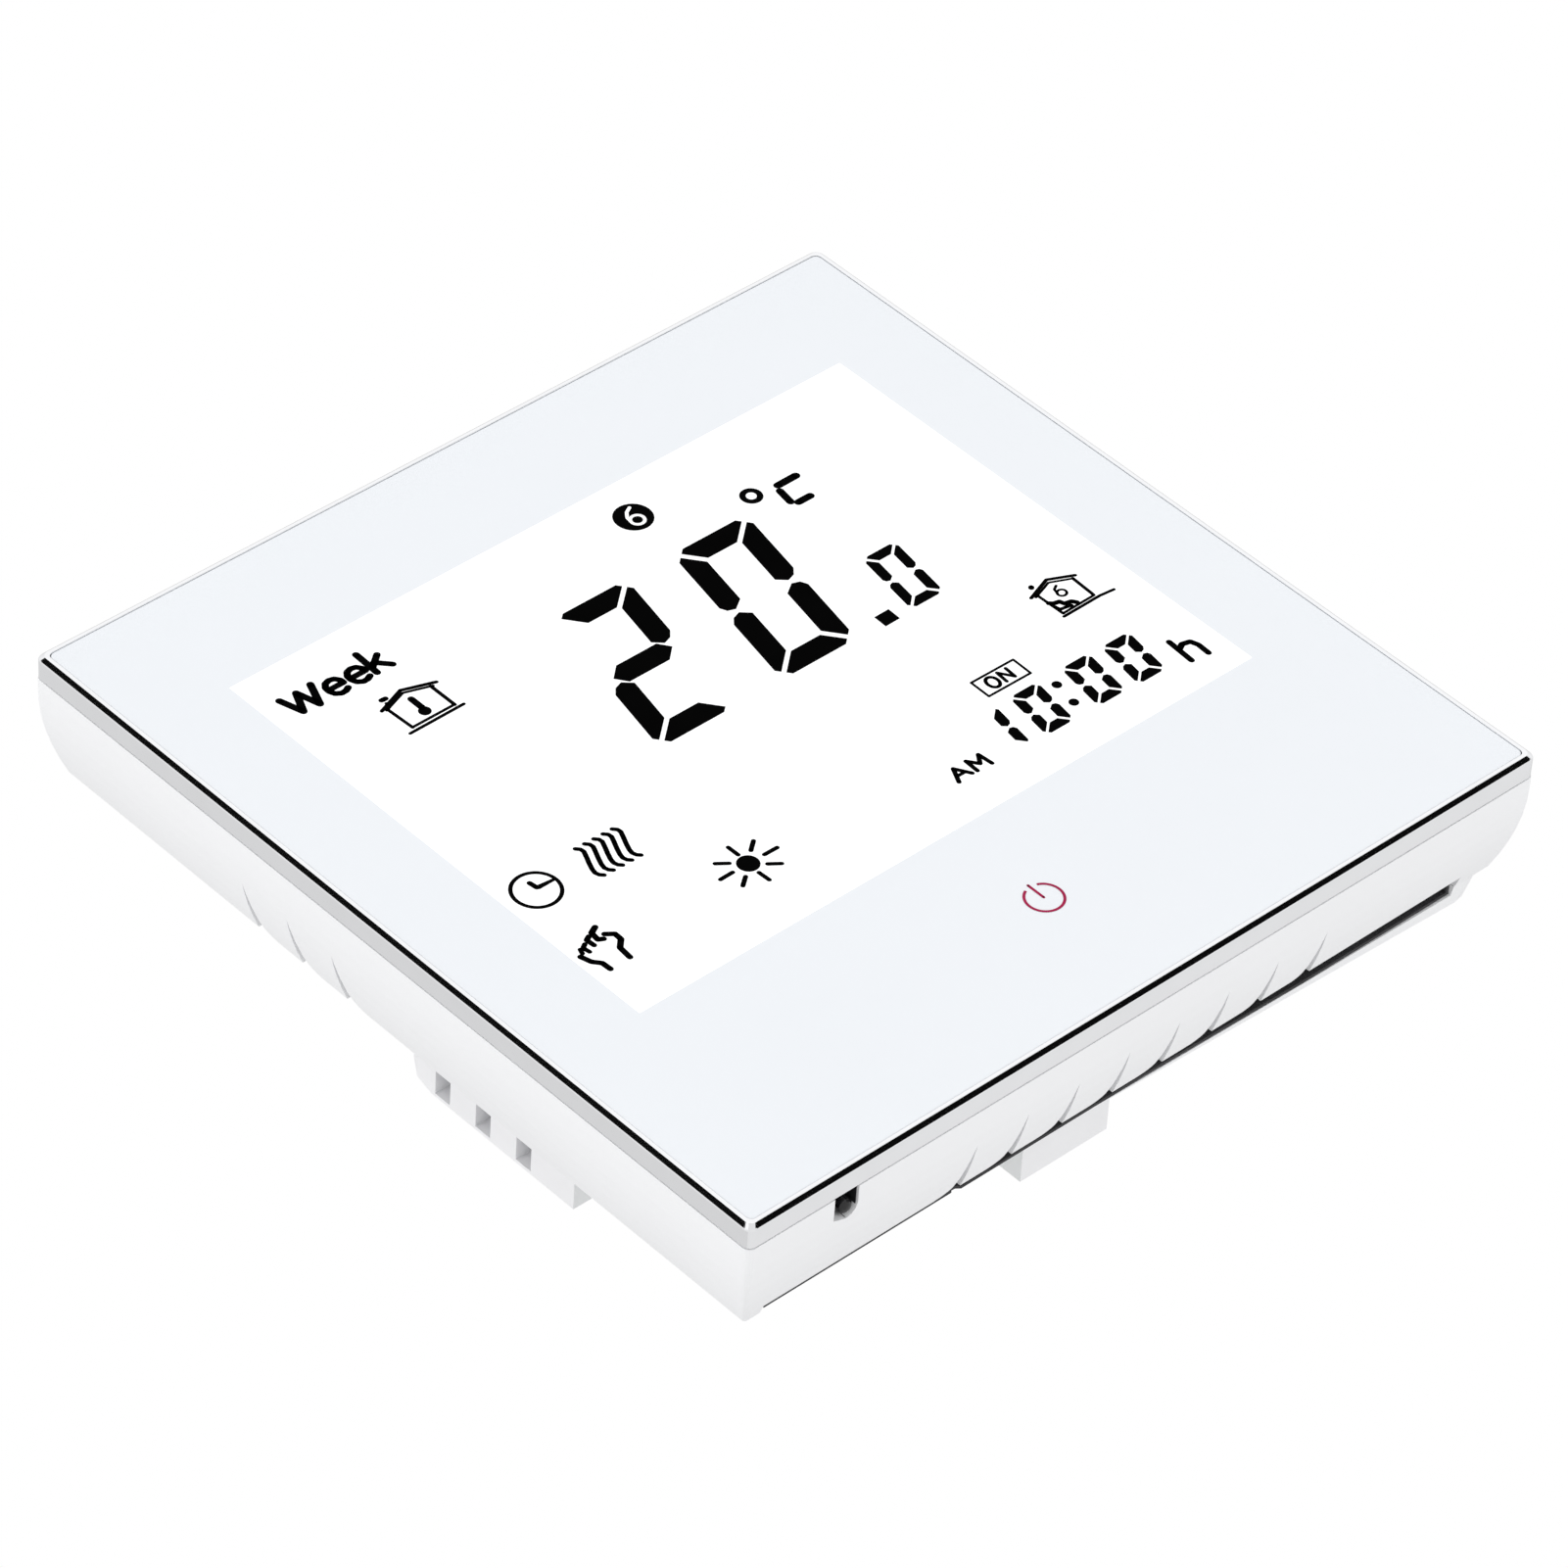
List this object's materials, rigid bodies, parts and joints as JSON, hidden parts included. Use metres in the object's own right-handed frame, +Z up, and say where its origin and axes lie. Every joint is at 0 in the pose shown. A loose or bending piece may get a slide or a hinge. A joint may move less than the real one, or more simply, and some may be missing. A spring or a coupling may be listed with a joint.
{
  "type": "wall thermostat",
  "caption": "Square touch-screen room thermostat for a flush wall box, with a glass face, chrome rim, steel mounting plate and a power box behind the wall plane.",
  "frame": {"origin": "middle of the wall plane, which is the back face of the steel mounting plate", "axes": "+X right seen from the front, +Y into the wall, +Z up; the glass faces -Y"},
  "size_m": [0.086, 0.0354, 0.086],
  "materials": {
    "white_plastic": "satin white moulded plastic",
    "inner_plastic": "plain moulded plastic",
    "black_plastic": "black moulded plastic",
    "terminal_plastic": "green flame-retardant plastic",
    "back_painted_glass": "clear glass painted white on its back",
    "chrome": "bright chrome plating",
    "zinc_steel": "zinc-plated steel",
    "copper": "enamelled copper wire",
    "brass": "bright brass",
    "board_green": "solder-masked glass-fibre laminate",
    "lcd_grey": "liquid crystal cell with polarisers",
    "light_guide_clear": "clear acrylic",
    "ferrite": "sintered ferrite",
    "rubber": "black elastomer or insulating film",
    "blue_coating": "blue epoxy or moulded plastic",
    "winding_tape": "yellow polyester tape over copper wire",
    "capacitor_sleeve": "dark heat-shrunk sleeve on an aluminium can",
    "capacitor_yellow": "yellow plastic case",
    "fuse_body": "brown ceramic fuse body"
  },
  "bodies": {
    "base": {"rear_base": "white_plastic", "bottom_seal": "rubber", "insulating_sheet": "rubber", "mounting_plate": "zinc_steel", "power_box": "white_plastic", "box_screw_left": "zinc_steel", "box_screw_right": "zinc_steel", "power_board": "board_green", "board_socket": "black_plastic", "relay_base": "black_plastic", "relay_yoke": "zinc_steel", "relay_coil": "copper", "relay_cover": "blue_coating", "transformer_core": "ferrite", "transformer_winding": "winding_tape", "bulk_capacitor": "capacitor_sleeve", "suppression_capacitor": "capacitor_yellow", "fuse": "fuse_body", "varistor": "blue_coating", "bridge_rectifier": "black_plastic", "mains_terminal_block": "terminal_plastic", "sensor_terminal_block": "terminal_plastic"},
    "front_unit": {"glass_panel": "back_painted_glass", "chrome_trim": "chrome", "front_housing": "white_plastic", "touch_film": "light_guide_clear", "lcd_cell": "lcd_grey", "light_guide": "light_guide_clear", "backlight_reflector": "white_plastic", "display_holder": "inner_plastic", "elastomer_connector": "rubber", "display_board": "board_green", "board_screw_bottom_left": "zinc_steel", "board_screw_bottom_right": "zinc_steel", "board_screw_top_left": "zinc_steel", "board_screw_top_right": "zinc_steel", "microcontroller": "black_plastic", "clock_battery": "zinc_steel", "board_header": "black_plastic", "power_key_spring": "zinc_steel", "sensor_bead": "black_plastic", "sensor_lead_left": "zinc_steel", "sensor_lead_right": "zinc_steel"},
    "relay_armature_body": {"relay_armature": "zinc_steel"},
    "mains_screw_1_body": {"mains_screw_1": "zinc_steel"},
    "mains_clamp_1_body": {"mains_clamp_1": "brass"},
    "mains_screw_2_body": {"mains_screw_2": "zinc_steel"},
    "mains_clamp_2_body": {"mains_clamp_2": "brass"},
    "mains_screw_3_body": {"mains_screw_3": "zinc_steel"},
    "mains_clamp_3_body": {"mains_clamp_3": "brass"},
    "mains_screw_4_body": {"mains_screw_4": "zinc_steel"},
    "mains_clamp_4_body": {"mains_clamp_4": "brass"},
    "sensor_screw_1_body": {"sensor_screw_1": "zinc_steel"},
    "sensor_clamp_1_body": {"sensor_clamp_1": "brass"},
    "sensor_screw_2_body": {"sensor_screw_2": "zinc_steel"},
    "sensor_clamp_2_body": {"sensor_clamp_2": "brass"}
  },
  "joints": [
    {"name": "front_unit_release", "type": "slide", "parent": "base", "child": "front_unit", "axis": [0, -1, 0], "range_m": [0, 0.03]},
    {"name": "relay_armature_pull", "type": "hinge", "parent": "base", "child": "relay_armature_body", "pos_m": [-0.019, 0.0129, 0.0025], "axis": [0, 0, 1], "range_deg": [-3, 0], "stiffness_Nm_per_rad": 0.005},
    {"name": "mains_screw_1_turn", "type": "hinge", "parent": "base", "child": "mains_screw_1_body", "pos_m": [-0.01975, 0.0146, -0.0161], "axis": [0, -1, 0], "range_deg": [0, 1440]},
    {"name": "mains_clamp_1_rise", "type": "slide", "parent": "base", "child": "mains_clamp_1_body", "axis": [0, 1, 0], "range_m": [0, 0.0024]},
    {"name": "mains_screw_2_turn", "type": "hinge", "parent": "base", "child": "mains_screw_2_body", "pos_m": [-0.01345, 0.0146, -0.0161], "axis": [0, -1, 0], "range_deg": [0, 1440]},
    {"name": "mains_clamp_2_rise", "type": "slide", "parent": "base", "child": "mains_clamp_2_body", "axis": [0, 1, 0], "range_m": [0, 0.0024]},
    {"name": "mains_screw_3_turn", "type": "hinge", "parent": "base", "child": "mains_screw_3_body", "pos_m": [-0.00715, 0.0146, -0.0161], "axis": [0, -1, 0], "range_deg": [0, 1440]},
    {"name": "mains_clamp_3_rise", "type": "slide", "parent": "base", "child": "mains_clamp_3_body", "axis": [0, 1, 0], "range_m": [0, 0.0024]},
    {"name": "mains_screw_4_turn", "type": "hinge", "parent": "base", "child": "mains_screw_4_body", "pos_m": [-0.00085, 0.0146, -0.0161], "axis": [0, -1, 0], "range_deg": [0, 1440]},
    {"name": "mains_clamp_4_rise", "type": "slide", "parent": "base", "child": "mains_clamp_4_body", "axis": [0, 1, 0], "range_m": [0, 0.0024]},
    {"name": "sensor_screw_1_turn", "type": "hinge", "parent": "base", "child": "sensor_screw_1_body", "pos_m": [0.0163, 0.0146, -0.0161], "axis": [0, -1, 0], "range_deg": [0, 1440]},
    {"name": "sensor_clamp_1_rise", "type": "slide", "parent": "base", "child": "sensor_clamp_1_body", "axis": [0, 1, 0], "range_m": [0, 0.0024]},
    {"name": "sensor_screw_2_turn", "type": "hinge", "parent": "base", "child": "sensor_screw_2_body", "pos_m": [0.0211, 0.0146, -0.0161], "axis": [0, -1, 0], "range_deg": [0, 1440]},
    {"name": "sensor_clamp_2_rise", "type": "slide", "parent": "base", "child": "sensor_clamp_2_body", "axis": [0, 1, 0], "range_m": [0, 0.0024]}
  ],
  "couplings": [
    {"joint": "mains_screw_1_turn", "follows": "mains_clamp_1_rise", "rad_per_m": 10472},
    {"joint": "mains_screw_2_turn", "follows": "mains_clamp_2_rise", "rad_per_m": 10472},
    {"joint": "mains_screw_3_turn", "follows": "mains_clamp_3_rise", "rad_per_m": 10472},
    {"joint": "mains_screw_4_turn", "follows": "mains_clamp_4_rise", "rad_per_m": 10472},
    {"joint": "sensor_screw_1_turn", "follows": "sensor_clamp_1_rise", "rad_per_m": 10472},
    {"joint": "sensor_screw_2_turn", "follows": "sensor_clamp_2_rise", "rad_per_m": 10472}
  ]
}
